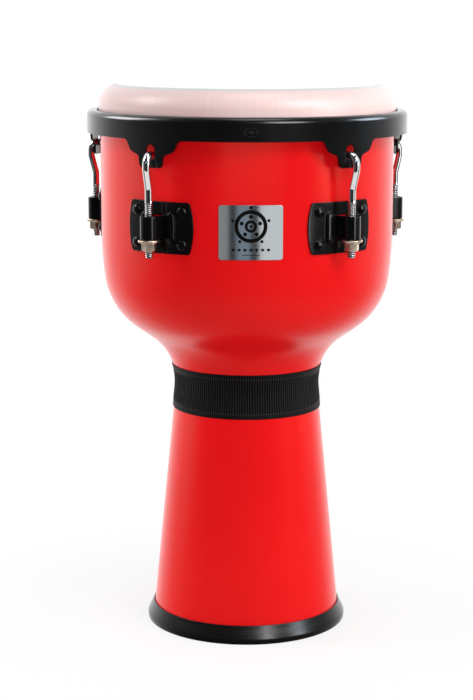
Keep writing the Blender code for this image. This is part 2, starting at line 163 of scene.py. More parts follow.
def loop_rounded(corners, step=12.0):
    """Closed outline through (x, y, radius) corners, every corner rounded."""
    first, last = Vector(corners[0][:2]), Vector(corners[-1][:2])
    middle = (*(first + last) / 2, 0)
    return rounded([middle] + list(corners) + [middle], step, longest=50)[:-1]


def rounded_box(left, right, low, high, rounding):
    """Closed outline of a rectangle with rounded corners."""
    return loop_rounded(((right, low, rounding), (right, high, rounding),
                         (left, high, rounding), (left, low, rounding)))


def offset(path, distance):
    """The path moved sideways, to its left where distance is positive, with mitred corners."""
    moved = []
    for i, point in enumerate(path):
        ways = []
        if i > 0:
            ways.append((point - path[i - 1]).normalized())
        if i < len(path) - 1:
            ways.append((path[i + 1] - point).normalized())
        normal = sum((Vector((-w.y, w.x)) for w in ways), Vector((0, 0))).normalized()
        moved.append(point + normal * distance / normal.dot(Vector((-ways[0].y, ways[0].x))))
    return moved


def sheet(path, left, right):
    """Closed outline of a sheet whose faces are offset from the path by left and right."""
    return offset(path, left) + offset(path, right)[::-1]


def divided(path, longest):
    """The path with points added until no side is longer than longest."""
    points = [path[0]]
    for a, b in zip(path, path[1:]):
        count = math.ceil((b - a).length / longest)
        points += [a.lerp(b, n / count) for n in range(1, count + 1)]
    return points


def cut_path(path, low, high):
    """The stretch of a rising path between two heights."""
    def at(height):
        for a, b in zip(path, path[1:]):
            if a.y <= height <= b.y:
                return a.lerp(b, (height - a.y) / (b.y - a.y))
        raise ValueError("height is outside the path")
    return [at(low)] + [p for p in path if low < p.y < high] + [at(high)]


def coordinates(points):
    """Two arrays: the first and the second coordinate of every point."""
    return np.array([p[0] for p in points]), np.array([p[1] for p in points])


def stacked(*arrays):
    """The arrays, broadcast to one shape, as the last axis of one array."""
    return np.stack(np.broadcast_arrays(*arrays), axis=-1)


# ---- Meshes ----
def polar(radius, angle, height):
    """Point at an angle from the front, counter-clockwise seen from above; also takes arrays."""
    x = radius * np.sin(angle) * MM
    y = -radius * np.cos(angle) * MM
    return stacked(x, y, height * MM + FLOOR)


def lug_angle(lug):
    """Angle of lug 0 to LUGS - 1. The front faces the middle of the gap between two lugs."""
    return (lug + 0.5) * math.tau / LUGS


def finished(bm, name, sharp=35.0):
    """Makes the bmesh a mesh with outward normals, smooth except at edges over sharp degrees."""
    bmesh.ops.remove_doubles(bm, verts=bm.verts, dist=1e-7)
    bmesh.ops.dissolve_degenerate(bm, edges=bm.edges, dist=1e-7)
    bmesh.ops.recalc_face_normals(bm, faces=bm.faces)
    mesh = bpy.data.meshes.new(name)
    bm.to_mesh(mesh)
    bm.free()
    mesh.shade_smooth()
    mesh.set_sharp_from_angle(angle=math.radians(sharp))
    return mesh


def grid_mesh(points, name, v_closed=True, uv=None, sharp=35.0):
    """Mesh over a (u, v, 3) array of points that closes along u. uv holds (u + 1, v + 1, 2) values."""
    nu, nv = points.shape[:2]
    index = np.arange(nu * nv).reshape(nu, nv)
    vs = nv if v_closed else nv - 1
    bm = bmesh.new()
    verts = [bm.verts.new(p) for p in points.reshape(-1, 3)]
    layer = bm.loops.layers.uv.new("UVMap") if uv is not None else None
    for i in range(nu):
        for j in range(vs):
            i2, j2 = (i + 1) % nu, (j + 1) % nv
            corners = ((i, j), (i2, j), (i2, j2), (i, j2))
            face = bm.faces.new([verts[index[c]] for c in corners])
            if layer is not None:
                spots = ((i, j), (i + 1, j), (i + 1, j + 1), (i, j + 1))
                for loop, spot in zip(face.loops, spots):
                    loop[layer].uv = uv[spot]
    return finished(bm, name, sharp)


def skinned(rings, name, sharp=35.0):
    """Solid through rings that hold the same number of points, with a cap at each end."""
    bm = bmesh.new()
    loops = [[bm.verts.new(p) for p in ring] for ring in rings]
    for a, b in zip(loops, loops[1:]):
        for i in range(len(a)):
            j = (i + 1) % len(a)
            bm.faces.new((a[i], a[j], b[j], b[i]))
    bm.faces.new(loops[0])
    bm.faces.new(loops[-1])
    return finished(bm, name, sharp)


def turned(outline, name, steps, closed=True):
    """Solid of revolution. An open outline starts and ends on the axis.

    Its UV map holds the arc round the drum and the way along the outline, both in metres.
    """
    radii, heights = coordinates(outline)
    angles = np.linspace(-math.pi, math.pi, steps + 1)
    points = polar(radii, angles[:-1, None], heights)
    ends = np.append(np.arange(len(outline)), 0)
    steps_along = np.hypot(np.diff(radii[ends]), np.diff(heights[ends]))
    along = np.concatenate(([0], np.cumsum(steps_along))) * MM
    uv = stacked(angles[:, None] * radii.max() * MM, along)
    return grid_mesh(points, name, closed, uv)


def prism(outline, low, high):
    """Solid over an outline of (across, up) points, between two distances out, in millimetres."""
    bm = bmesh.new()
    face = bm.faces.new([bm.verts.new((p[0], p[1], low)) for p in outline])
    lifted = bmesh.ops.extrude_face_region(bm, geom=[face])["geom"]
    top = [g for g in lifted if isinstance(g, bmesh.types.BMVert)]
    bmesh.ops.translate(bm, verts=top, vec=(0, 0, high - low))
    return finished(bm, "prism")


def bent(mesh, radius, height, pitch=1.5):
    """Wraps a flat (across, up, out) mesh in millimetres round the drum's axis at the front."""
    bm = bmesh.new()
    bm.from_mesh(mesh)
    reach = max(abs(v.co.x) for v in bm.verts)
    columns = int(reach / pitch)
    for n in range(-columns, columns + 1):
        geometry = bm.verts[:] + bm.edges[:] + bm.faces[:]
        bmesh.ops.bisect_plane(bm, geom=geometry, dist=1e-5, plane_co=(n * pitch, 0, 0),
                               plane_no=(1, 0, 0))
    for vert in bm.verts:
        across, up, out = vert.co
        vert.co = polar(radius + out, across / radius, height + up)
    bpy.data.meshes.remove(mesh)
    return finished(bm, "bent")


def added(name, data):
    """New object in the scene."""
    obj = bpy.data.objects.new(name, data)
    bpy.context.scene.collection.objects.link(obj)
    return obj


def evaluated(mesh, name, modifiers):
    """The mesh after (type, settings) modifiers, applied in order."""
    obj = added(name, mesh)
    for kind, settings in modifiers:
        modifier = obj.modifiers.new(kind, kind)
        for key, value in settings.items():
            setattr(modifier, key, value)
    graph = bpy.context.evaluated_depsgraph_get()
    made = bpy.data.meshes.new_from_object(obj.evaluated_get(graph))
    bpy.data.objects.remove(obj)
    made.name = name
    return made


def cut_away(mesh, other, name):
    """The mesh without the space that the other mesh fills."""
    helper = added("helper", other)
    made = evaluated(mesh, name, [("BOOLEAN", {"object": helper, "operation": "DIFFERENCE"})])
    bpy.data.objects.remove(helper)
    return made


def joined(meshes):
    """One mesh that holds all the given meshes, which are removed."""
    bm = bmesh.new()
    for mesh in meshes:
        bm.from_mesh(mesh)
        bpy.data.meshes.remove(mesh)
    return finished(bm, "joined")


def soft_edges(mesh, name, width=0.4, segments=2, angle=40.0):
    """The mesh with its edges over angle degrees bevelled by width millimetres."""
    bevel = {"width": width * MM, "segments": segments, "limit_method": "ANGLE",
             "angle_limit": math.radians(angle)}
    return evaluated(mesh, name, [("BEVEL", bevel), ("WEIGHTED_NORMAL", {"keep_sharp": True})])


def piece(name, mesh, material, body, angle=0.0, nodes=()):
    """Object that rides on a body, takes the given material if its mesh has none, and stands for the
    given CAD nodes.
    """
    obj = added(name, mesh)
    obj.rotation_euler.z = angle
    if not mesh.materials:
        mesh.materials.append(material)
    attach(obj, body)
    if nodes:
        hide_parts(*nodes)
    return obj


# ---- Material helpers ----
def put(tree, kind, props=None, **inputs):
    """Adds a shader node. A socket given as an input is linked, and any other value is set."""
    node = tree.nodes.new("ShaderNode" + kind)
    for key, value in (props or {}).items():
        setattr(node, key, value)
    for key, value in inputs.items():
        spot = int(key[1:]) if key[0] == "i" and key[1:].isdigit() else key.replace("_", " ")
        if isinstance(value, bpy.types.NodeSocket):
            tree.links.new(value, node.inputs[spot])
        else:
            node.inputs[spot].default_value = value
    return node


def maths(tree, operation, a, b=0.0, c=0.0):
    return put(tree, "Math", {"operation": operation}, i0=a, i1=b, i2=c).outputs[0]


def rgba(colour):
    """The colour, or the grey of that level, with full alpha."""
    return (*colour, 1) if isinstance(colour, tuple) else (colour, colour, colour, 1)


def ramp(tree, factor, stops):
    """Colour ramp through (position, colour or grey level) stops."""
    node = put(tree, "ValToRGB", Fac=factor)
    elements = node.color_ramp.elements
    while len(elements) < len(stops):
        elements.new(1.0)
    for element, (position, colour) in zip(elements, stops):
        element.position = position
        element.color = rgba(colour)
    return node.outputs[0]


def remap(tree, value, low, high, from_low=0.0, from_high=1.0):
    """The value taken from one range to another, and held inside it."""
    node = put(tree, "MapRange", Value=value, From_Min=from_low, From_Max=from_high,
               To_Min=low, To_Max=high)
    return node.outputs[0]


def noise(tree, vector, scale, detail=3.0, roughness=0.5):
    node = put(tree, "TexNoise", Vector=vector, Scale=scale, Detail=detail,
               Roughness=roughness)
    return node.outputs[0]


def stretched(tree, vector, factors):
    return put(tree, "Mapping", Vector=vector, Scale=factors).outputs[0]


def bump(tree, height, distance_mm, strength):
    node = put(tree, "Bump", Height=height, Distance=distance_mm * MM, Strength=strength)
    return node.outputs[0]


def scaled(tree, vector, factor):
    return put(tree, "VectorMath", {"operation": "SCALE"}, i0=vector, Scale=factor).outputs[0]


def mixed(tree, factor, a, b):
    """Colour mix, where a and b are colours, grey levels or sockets."""
    node = tree.nodes.new("ShaderNodeMix")
    node.data_type = "RGBA"
    for spot, value in ((0, factor), (6, a), (7, b)):
        if isinstance(value, bpy.types.NodeSocket):
            tree.links.new(value, node.inputs[spot])
        elif spot == 0:
            node.inputs[0].default_value = value
        else:
            node.inputs[spot].default_value = rgba(value)
    return node.outputs[2]


def shader(name):
    """(material, node tree, Principled BSDF, object coordinates, UV coordinates)."""
    material = bpy.data.materials.new(name)
    material.use_nodes = True
    tree = material.node_tree
    coords = tree.nodes.new("ShaderNodeTexCoord").outputs
    return material, tree, tree.nodes["Principled BSDF"], coords["Object"], coords["UV"]


def plug(tree, principled, **values):
    """Sets or links the Principled BSDF's inputs by name, with underscores for spaces."""
    for key, value in values.items():
        spot = principled.inputs[key.replace("_", " ")]
        if isinstance(value, bpy.types.NodeSocket):
            tree.links.new(value, spot)
        else:
            spot.default_value = rgba(value) if spot.type == "RGBA" else value


# ---- Materials ----
def red_gelcoat():
    """Satin moulded finish: slow drift in the red, fine orange peel, uneven sheen."""
    material, tree, bsdf, where, _ = shader("red_gelcoat")
    drift = remap(tree, noise(tree, where, 7.0, 2.0), 0.0, 1.0, 0.3, 0.7)
    colour = mixed(tree, drift, (0.84, 0.006, 0.009), (0.78, 0.005, 0.008))
    cloud = noise(tree, where, 55.0, 4.0)
    peel = bump(tree, noise(tree, where, 900.0, 2.0), 0.05, 0.35)
    plug(tree, bsdf, Base_Color=colour, Roughness=remap(tree, cloud, 0.23, 0.29),
         Specular_IOR_Level=0.42, Specular_Tint=(1.0, 0.75, 0.5), Normal=peel)
    return material


def shell_inside():
    """Bare laminate inside the shell: dull dark red with a coarse glass-mat texture."""
    material, tree, bsdf, where, _ = shader("shell_inside")
    strands = noise(tree, stretched(tree, where, (1.0, 1.0, 0.25)), 260.0, 5.0, 0.65)
    colour = mixed(tree, strands, (0.30, 0.012, 0.012), (0.46, 0.030, 0.026))
    plug(tree, bsdf, Base_Color=colour, Roughness=0.75, Normal=bump(tree, strands, 0.35, 0.6))
    return material


def film_material():
    """Milky film: white on top, a grey bend of painted shade, and a streaky collar that the red shell
    tints, with painted shade on its upper part.
    """
    material, tree, bsdf, where, uv = shader("head_film")
    flat = put(tree, "VectorMath", {"operation": "MULTIPLY"}, i0=where, i1=(1, 1, 0)).outputs[0]
    radius = put(tree, "VectorMath", {"operation": "LENGTH"}, i0=flat).outputs["Value"]
    edge = 0.8 * MM
    start, end = (r * MM for r in FILM_BEND)
    past_top = remap(tree, radius, 0.0, 1.0, start - edge, start + edge)
    past_bend = remap(tree, radius, 0.0, 1.0, end - edge, end + edge)
    streaks = noise(tree, stretched(tree, uv, (260.0, 5.0, 1.0)), 1.0, 4.0, 0.55)
    broad = noise(tree, stretched(tree, uv, (14.0, 2.0, 1.0)), 1.0, 3.0, 0.6)
    both = maths(tree, "MULTIPLY_ADD", streaks, 0.5, maths(tree, "MULTIPLY", broad, 0.5))
    # The upper collar colours are darker than the lower ones: painted shade on the upper part of the
    # collar.
    upper = mixed(tree, both, (0.79, 0.64, 0.62), (0.67, 0.50, 0.48))
    lower = mixed(tree, both, (0.92, 0.71, 0.69), (0.76, 0.49, 0.47))
    down = remap(tree, radius, 0.0, 1.0, end, (SHELL_R + 1.2) * MM)
    collar = mixed(tree, down, upper, lower)
    mottle = noise(tree, where, 28.0, 3.0)
    top = mixed(tree, mottle, (0.90, 0.90, 0.895), (0.94, 0.94, 0.935))
    # The grey bend is painted shade along the edge where the film turns down over the bearing edge.
    bend = mixed(tree, mottle, (0.50, 0.50, 0.485), (0.57, 0.57, 0.555))
    colour = mixed(tree, past_bend, mixed(tree, past_top, top, bend), collar)
    plug(tree, bsdf, Base_Color=colour, Roughness=remap(tree, streaks, 0.30, 0.42),
         Normal=bump(tree, streaks, 0.02, 0.25), Subsurface_Weight=0.12,
         Subsurface_Radius=(0.9, 0.5, 0.5), Subsurface_Scale=0.004)
    return material


def black_powder_coat(name="black_powder_coat", smooth=0.20, rough=0.28, gloss=0.45):
    """Fine-grained black coat. Its roughness drifts between smooth and rough."""
    material, tree, bsdf, where, _ = shader(name)
    grain = noise(tree, where, 1500.0, 2.0)
    cloud = noise(tree, where, 45.0, 3.0)
    colour = mixed(tree, cloud, 0.0015, (0.0035, 0.0033, 0.0033))
    plug(tree, bsdf, Base_Color=colour, Roughness=remap(tree, cloud, smooth, rough),
         Specular_IOR_Level=gloss, Normal=bump(tree, grain, 0.03, 0.25))
    return material


def chrome():
    """Bright plating with a faint waviness."""
    material, tree, bsdf, where, _ = shader("chrome")
    cloud = noise(tree, where, 120.0, 3.0)
    colour = mixed(tree, cloud, (0.80, 0.81, 0.83), (0.90, 0.90, 0.91))
    plug(tree, bsdf, Base_Color=colour, Metallic=1.0, Roughness=remap(tree, cloud, 0.05, 0.13),
         Normal=bump(tree, noise(tree, where, 300.0, 2.0), 0.03, 0.25))
    return material


def thread_groove():
    """Dark material at the bottom of the cut threads: painted shade in the thread roots, with noise in
    its tone and roughness.
    """
    material, tree, bsdf, where, _ = shader("thread_groove")
    root_shade_noise = noise(tree, where, 900.0, 3.0)
    # Painted shade: a dark grey for the thread roots.
    colour = mixed(tree, root_shade_noise, 0.05, (0.16, 0.155, 0.15))
    plug(tree, bsdf, Base_Color=colour, Metallic=0.8, Roughness=remap(tree, root_shade_noise, 0.35, 0.5))
    return material


def yellow_zinc():
    """Plated washers and nuts: warm tint that varies, with brighter worn patches."""
    material, tree, bsdf, where, _ = shader("yellow_zinc")
    patches = noise(tree, where, 210.0, 4.0)
    colour = ramp(tree, patches, ((0.35, (0.60, 0.47, 0.35)), (0.55, (0.78, 0.64, 0.50)),
                                  (0.75, (0.86, 0.77, 0.66))))
    plug(tree, bsdf, Base_Color=colour, Metallic=1.0, Roughness=remap(tree, patches, 0.22, 0.38),
         Normal=bump(tree, noise(tree, where, 700.0, 3.0), 0.04, 0.3))
    return material


def plain_steel():
    """Uncoated steel with grain that runs upright."""
    material, tree, bsdf, where, _ = shader("plain_steel")
    grain = noise(tree, stretched(tree, where, (1.0, 1.0, 12.0)), 150.0, 4.0)
    colour = mixed(tree, grain, (0.42, 0.42, 0.43), 0.58)
    plug(tree, bsdf, Base_Color=colour, Metallic=1.0, Roughness=remap(tree, grain, 0.28, 0.45),
         Normal=bump(tree, grain, 0.03, 0.3))
    return material


def brushed_aluminium():
    """Badge plate, brushed across so that the lines run round the drum."""
    material, tree, bsdf, where, _ = shader("brushed_aluminium")
    lines = noise(tree, stretched(tree, where, (14.0, 14.0, 2600.0)), 1.0, 4.0, 0.7)
    colour = mixed(tree, lines, (0.50, 0.54, 0.57), (0.66, 0.69, 0.71))
    plug(tree, bsdf, Base_Color=colour, Metallic=1.0, Roughness=remap(tree, lines, 0.10, 0.17),
         Normal=bump(tree, lines, 0.02, 0.25))
    return material


def webbing():
    """Black ribbed webbing: ribs painted lighter as a painted highlight on their crests, fine threads
    and a row of stitches by each edge.
    """
    stitch_inset, stitch_half = 5.5 * MM, 0.5 * MM
    material, tree, bsdf, _, uv = shader("black_webbing")
    parts = put(tree, "SeparateXYZ", Vector=uv).outputs
    phase = maths(tree, "MULTIPLY", parts["X"], BAND_RIBS / (BAND_UV_R * MM))
    rib = maths(tree, "MULTIPLY_ADD", maths(tree, "COSINE", phase), 0.5, 0.5)
    across = put(tree, "TexWave", {"bands_direction": "X"}, Vector=uv, Scale=500.0).outputs[1]
    along = put(tree, "TexWave", {"bands_direction": "Y"}, Vector=uv, Scale=420.0).outputs[1]
    fuzz = noise(tree, uv, 1400.0, 3.0)
    weave = maths(tree, "MULTIPLY_ADD", maths(tree, "MAXIMUM", across, along), 0.6,
                  maths(tree, "MULTIPLY", fuzz, 0.4))
    stitched = 0.0
    low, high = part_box("waist_band")
    for level in (low.z - FLOOR + stitch_inset, high.z - FLOOR - stitch_inset):
        row = maths(tree, "COMPARE", parts["Y"], level, stitch_half)
        stitched = maths(tree, "ADD", stitched, maths(tree, "MULTIPLY", row, rib))
    # Lighter ribs are a painted highlight on the rib crests; the weave's share is the webbing's own
    # texture.
    light = maths(tree, "MULTIPLY_ADD", rib, 0.75, maths(tree, "MULTIPLY", weave, 0.25))
    colour = mixed(tree, light, 0.0002, (0.0068, 0.0063, 0.0058))
    colour = mixed(tree, stitched, colour, (0.030, 0.028, 0.026))
    plug(tree, bsdf, Base_Color=colour, Roughness=0.62, Sheen_Weight=0.12, Sheen_Roughness=0.4,
         Specular_IOR_Level=remap(tree, rib, 0.0, 0.30), Normal=bump(tree, weave, 0.12, 0.6))
    return material


def rubber():
    """Moulded rubber: black, with rings left by the mould that streak its sheen."""
    material, tree, bsdf, where, _ = shader("black_rubber")
    rings = noise(tree, stretched(tree, where, (3.0, 3.0, 900.0)), 1.0, 3.0)
    bloom = noise(tree, where, 60.0, 4.0)
    colour = mixed(tree, bloom, 0.0015, (0.005, 0.0045, 0.004))
    plug(tree, bsdf, Base_Color=colour, Roughness=remap(tree, rings, 0.16, 0.42),
         Specular_IOR_Level=0.32, Normal=bump(tree, rings, 0.10, 0.5))
    return material


def black_enamel():
    """Black paint of the badge's ornament."""
    material, tree, bsdf, where, _ = shader("black_enamel")
    cloud = noise(tree, where, 400.0, 3.0)
    colour = mixed(tree, cloud, 0.002, 0.005)
    plug(tree, bsdf, Base_Color=colour, Roughness=remap(tree, cloud, 0.25, 0.35))
    return material


def grey_mark():
    """Dull grey of the counterhoop's small raised ornament."""
    material, tree, bsdf, where, _ = shader("grey_mark")
    cloud = noise(tree, where, 500.0, 3.0)
    colour = mixed(tree, cloud, 0.012, 0.030)
    plug(tree, bsdf, Base_Color=colour, Roughness=remap(tree, cloud, 0.3, 0.45))
    return material


# ---- The drum's body ----
def shell_path():
    return rounded(SHELL_CORNERS, step=4.0, longest=5.0)


def make_shell(outside, inside):
    """Moulded goblet. Its inside, below the bearing edge, has a finish of its own."""
    edge_low = FLOOR + 590 * MM
    outline = sheet(divided(shell_path(), 12.0), 0, SHELL_WALL)
    outline[-1].y = SHELL_CORNERS[0][1]
    mesh = turned(outline, "shell", 288)
    mesh.materials.append(outside)
    mesh.materials.append(inside)
    wall = (SHELL_R - SHELL_WALL / 2) * MM
    for face in mesh.polygons:
        x, y, z = face.center
        facing_in = face.normal.x * x + face.normal.y * y < 0
        if facing_in and z < edge_low and math.hypot(x, y) < wall:
            face.material_index = 1
    piece("drum_shell", mesh, outside, "shell", nodes=["shell"])


def make_head_film(material):
    """Film over the bearing edge: a flat top and a collar down to the rim. It stays where it is built
    and does not follow the moving rim.
    """
    path = divided(rounded(FILM_CORNERS, step=3.0, longest=2.0), 6.0)
    outline = sheet(path, FILM / 2, -FILM / 2)
    outline[0].x = outline[-1].x = 0
    mesh = turned(outline, "drum_head_film", 288, closed=False)
    mesh.materials.append(material)
    obj = added("drum_head_film", mesh)
    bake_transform(obj)
    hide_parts("head_film")


def make_flesh_hoop(material):
    inner, outer, low, high, edge = 162.5, 170.7, 560.6, 569.2, 1.5
    outline = rounded_box(inner, outer, low, high, edge)
    piece("drum_flesh_hoop", turned(outline, "drum_flesh_hoop", 192), material, "rim",
          nodes=["flesh_hoop"])


def hoop_columns():
    """(angle, height of the lower edge) for every column of the counterhoop, in order."""
    ear = divided(rounded(EAR_CORNERS, step=9.0, longest=1.5), 1.6)
    ear = [(p.x / HOOP_R, p.y) for p in ear]
    reach = ear[-1][0]
    spread = math.tau / LUGS - 2 * reach
    between = round(math.degrees(spread))
    columns = []
    for lug in range(LUGS):
        middle = lug_angle(lug)
        start = middle + reach
        columns += [(middle - a, z) for a, z in reversed(ear[1:])]
        columns += [(middle + a, z) for a, z in ear]
        columns += [(start + spread * n / between, HOOP_BOTTOM) for n in range(1, between)]
    return columns


def ear_hole_cutter(lug):
    """Slot with arched ends, in place through the ear of a lug."""
    width, low, high = EAR_HOLE
    half = width / 2
    outline = rounded_box(-half, half, low, high, half * 0.98)
    cutter = prism(outline, HOOP_R - 12, HOOP_R + 12)
    upright = Matrix.Rotation(math.pi / 2, 4, "X") @ Matrix.Scale(MM, 4)
    place = Matrix.Translation((0, 0, FLOOR)) @ Matrix.Rotation(lug_angle(lug), 4, "Z")
    cutter.transform(place @ upright)
    return cutter


def make_counterhoop(material):
    """Pressed rim with a rolled top flange, an ear over each lug and an arched hole in each ear."""
    middle = HOOP_R - HOOP_SHEET / 2
    height, bend = HOOP_CORNER
    rings = []
    for angle, bottom in hoop_columns():
        path = rounded(((middle, bottom, 0), (middle, height, bend), (*HOOP_LIP, 0)), step=12)
        radii, heights = coordinates(sheet(path, HOOP_SHEET / 2, -HOOP_SHEET / 2))
        rings.append(polar(radii, angle, heights))
    hoop = grid_mesh(np.array(rings), "counterhoop")
    holes = joined([ear_hole_cutter(lug) for lug in range(LUGS)])
    hoop = cut_away(hoop, holes, "counterhoop")
    mesh = soft_edges(hoop, "drum_counterhoop", 0.55, 3)
    piece("drum_counterhoop", mesh, material, "rim", nodes=["counterhoop"])


def disc_outline(radius, x=0.0, y=0.0, count=20):
    turn = [math.tau * n / count for n in range(count)]
    return [(x + radius * math.cos(t), y + radius * math.sin(t)) for t in turn]


def diamond(x, y, half_width, half_height):
    return [(x - half_width, y), (x, y - half_height), (x + half_width, y), (x, y + half_height)]


def flat_ring(outer, inner, low, high):
    """Flat ring of the given radii, as a prism with a hole."""
    ring = np.array([[(r * math.cos(t), r * math.sin(t), z) for r, z in
                      ((inner, low), (outer, low), (outer, high), (inner, high))]
                     for t in (math.tau * n / 48 for n in range(48))])
    return grid_mesh(ring, "flat_ring")


def rounded_plate(width, height, corner, thick):
    across, up = width / 2, height / 2
    return prism(rounded_box(-across, across, -up, up, corner), 0, thick)


def badge_place():
    """(height of the badge, height of its middle above the floor), in millimetres."""
    low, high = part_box("badge")
    return (high.z - low.z) / MM, ((high.z + low.z) / 2 - FLOOR) / MM


def make_badge(material):
    """Brushed plate that follows the shell."""
    height, middle = badge_place()
    plate = bent(rounded_plate(66.0, height, 3.0, BADGE_THICK), BADGE_SEAT, middle)
    mesh = soft_edges(plate, "drum_badge", 0.2, 2)
    piece("drum_badge", mesh, material, "shell", nodes=["badge"])


def make_badge_ornament(material):
    """Plain ornament: a drum head seen from above, over a row of diamonds and a fine line."""
    base, top = BADGE_THICK - 0.1, BADGE_THICK + 0.12
    head_up, row_down, line_down = 6.5, 17.6, 23.0
    line_reach, line_half = 9.0, 0.3
    parts = [flat_ring(16.8, 12.9, base, top), flat_ring(6.3, 3.4, base, top)]
    for lug in range(LUGS):
        turn = lug_angle(lug)
        for away, radius, count in ((9.9, 2.0, 20), (19.2, 1.6, 16)):
            x, y = away * math.sin(turn), -away * math.cos(turn)
            parts.append(prism(disc_outline(radius, x, y, count), base, top))
    parts.append(prism(disc_outline(1.5), base, top))
    head = joined(parts)
    head.transform(Matrix.Translation((0, head_up, 0)))
    row = [prism(diamond(x, -row_down, 2.2, 1.7), base, top) for x in np.linspace(-18, 18, 7)]
    line = [(x, line_half * up - line_down) for x, up in
            ((-line_reach, -1), (line_reach, -1), (line_reach, 1), (-line_reach, 1))]
    row.append(prism(line, base, top))
    _, middle = badge_place()
    mesh = bent(joined([head] + row), BADGE_SEAT, middle)
    mesh.name = "badge_ornament"
    piece("badge_ornament", mesh, material, "shell")


def make_hoop_ornament(material):
    """Small raised lozenge in an oval at the front of the counterhoop."""
    sunk, raised, height = -0.3, 0.35, 559.5
    oval = flat_ring(1.0, 0.86, sunk, raised)
    oval.transform(Matrix.Diagonal((7.4, 4.8, 1, 1)))
    parts = [oval, prism(diamond(0, 0, 3.4, 2.2), sunk, raised)]
    parts += [prism(diamond(x, 0, 0.8, 0.8), sunk, raised) for x in (-4.9, 4.9)]
    mesh = bent(joined(parts), HOOP_R, height)
    piece("drum_hoop_ornament", mesh, material, "rim")


def band_relief(angles, height, from_edge):
    """How far the band's face stands out: upright ribs, flat woven edges and the lapped ends."""
    selvedge, fade = 7.0, 1.5
    rib_height, edge_height, edge_rounding = 0.55, 0.22, 0.55
    pick_height, pick_pitch, slub_height = 0.06, 1.5, 0.05
    lap, lap_ramp, lap_height = math.radians(7.0), math.radians(0.4), 1.3
    phase = angles[:, None] * BAND_RIBS
    ribbed = np.clip((from_edge - selvedge) / fade, 0, 1)
    rib = 0.5 + 0.5 * np.cos(phase)
    slub = 0.5 + 0.5 * np.sin(phase * 2.0)
    picks = np.sin(height * math.tau / pick_pitch) * pick_height + slub * slub_height
    rounding = edge_rounding * (1 - np.clip(from_edge, 0, 1)) ** 2
    lapped = np.clip((lap - math.pi + np.abs(angles)) / lap_ramp, 0, 1)[:, None] * lap_height
    relief = ribbed * rib_height * rib ** 0.7 + (1 - ribbed) * (edge_height + picks)
    return relief + lapped - rounding


def make_waist_band(material):
    """Ribbed webbing: smooth selvedges, upright ribs between them and a lapped end at the back."""
    thickness, glue, per_rib, ripple_height = 1.0, 0.1, 10, 0.18
    low, high = ((corner.z - FLOOR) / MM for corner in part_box("waist_band"))
    path = divided(cut_path(shell_path(), low, high), 1.1)
    angles = np.linspace(-math.pi, math.pi, BAND_RIBS * per_rib + 1)[:-1]
    _, height = coordinates(path)
    from_edge = np.minimum(height - low, high - height)
    relief = band_relief(angles, height, from_edge)
    plain = np.zeros_like(relief)
    outer_r, outer_z = coordinates(offset(path, -thickness))
    inner_r, inner_z = coordinates(offset(path, -glue)[::-1])
    radii = np.concatenate((outer_r + relief, inner_r + plain), axis=1)
    heights = np.concatenate((outer_z + plain, inner_z + plain), axis=1)
    outer_edges = [0, len(path) - 1]
    heights[:, outer_edges] += ripple_height * np.sin(angles * BAND_RIBS)[:, None]
    around = np.append(angles, math.pi) * BAND_UV_R * MM
    along = np.append(heights[0], heights[0, 0]) * MM
    uv = stacked(around[:, None], along)
    mesh = grid_mesh(polar(radii, angles[:, None], heights), "drum_waist_band", uv=uv, sharp=60)
    piece("drum_waist_band", mesh, material, "shell", nodes=["waist_band"])


def make_foot_ring(material):
    """Rubber ring with a rounded skirt, a thin top lip and a groove for the shell."""
    corners = ((98.7, 3.2, 0.3), (105.4, 3.2, 0.3), (103.8, 19.4, 0.2), (105.1, 19.9, 0.5),
               (106.5, 16.0, 6.0), (111.6, 6.0, 4.0), (111.2, 0.0, 1.5), (96.0, 0.0, 1.2),
               (96.0, 14.0, 0.8), (97.7, 14.0, 0.3))
    outline = loop_rounded(corners)
    piece("drum_foot_ring", turned(outline, "drum_foot_ring", 256), material, "shell",
          nodes=["foot_ring"])


# ---- The lugs ----
def rib_mesh(middle):
    """Upright bead with round ends, steep sides and a gently crowned top."""
    half_width, reach, rise, sink = 4.7, 11.3, 3.9, 1.4
    profile = ((1.0, -sink), (1.0, 0.9), (0.94, 2.1), (0.84, 2.9), (0.68, 3.4), (0.45, 3.7),
               (0.2, rise))
    turn = [math.tau * (n + 0.5) / 48 for n in range(48)]
    rings = []
    for scale, out in profile:
        ring = [(half_width * scale * math.cos(t), half_width * scale * math.sin(t)) for t in turn]
        rings.append([(middle + x, y + math.copysign(reach, y), PLATE_SHEET + out) for x, y in ring])
    return skinned(rings, "rib")


def bracket_plate():
    """Plate with bulging sides and a window behind the loop."""
    half_width, half_height, corner_width, rounding = 41.1, 26.9, 36.7, 3.0
    bulge = []
    for t in np.linspace(-1, 1, 9):
        x = corner_width + (half_width - corner_width) * (1 - t * t)
        bulge.append((x, half_height * t, rounding if abs(t) == 1 else 0))
    mirrored = [(-x, y, r) for x, y, r in reversed(bulge)]
    plate = prism(loop_rounded(bulge + mirrored), 0, PLATE_SHEET)
    below, above = LOOP_LOW - BRACKET_Z, LOOP_HIGH - BRACKET_Z
    window = [(-LOOP_IN, below), (LOOP_IN, below), (LOOP_IN, above), (-LOOP_IN, above)]
    return bent(cut_away(plate, prism(window, -5, 9), "plate"), PLATE_SEAT, BRACKET_Z)


def bracket_strap():
    """Strap that leaves the plate, bends round the rod and comes back."""
    root = SHELL_R + 0.8
    turn = [math.pi * n / 24 for n in range(25)]
    outer = [(LOOP_OUT * math.cos(t), ROD_R + LOOP_OUT * math.sin(t)) for t in turn]
    inner = [(LOOP_IN * math.cos(t), ROD_R + LOOP_IN * math.sin(t)) for t in reversed(turn)]
    outline = [(LOOP_OUT, root)] + outer + [(-LOOP_OUT, root)]
    outline += [(-LOOP_IN, root)] + inner + [(LOOP_IN, root)]
    strap = prism(outline, LOOP_LOW, LOOP_HIGH)
    strap.transform(Matrix(((MM, 0, 0, 0), (0, -MM, 0, 0), (0, 0, MM, FLOOR), (0, 0, 0, 1))))
    return strap


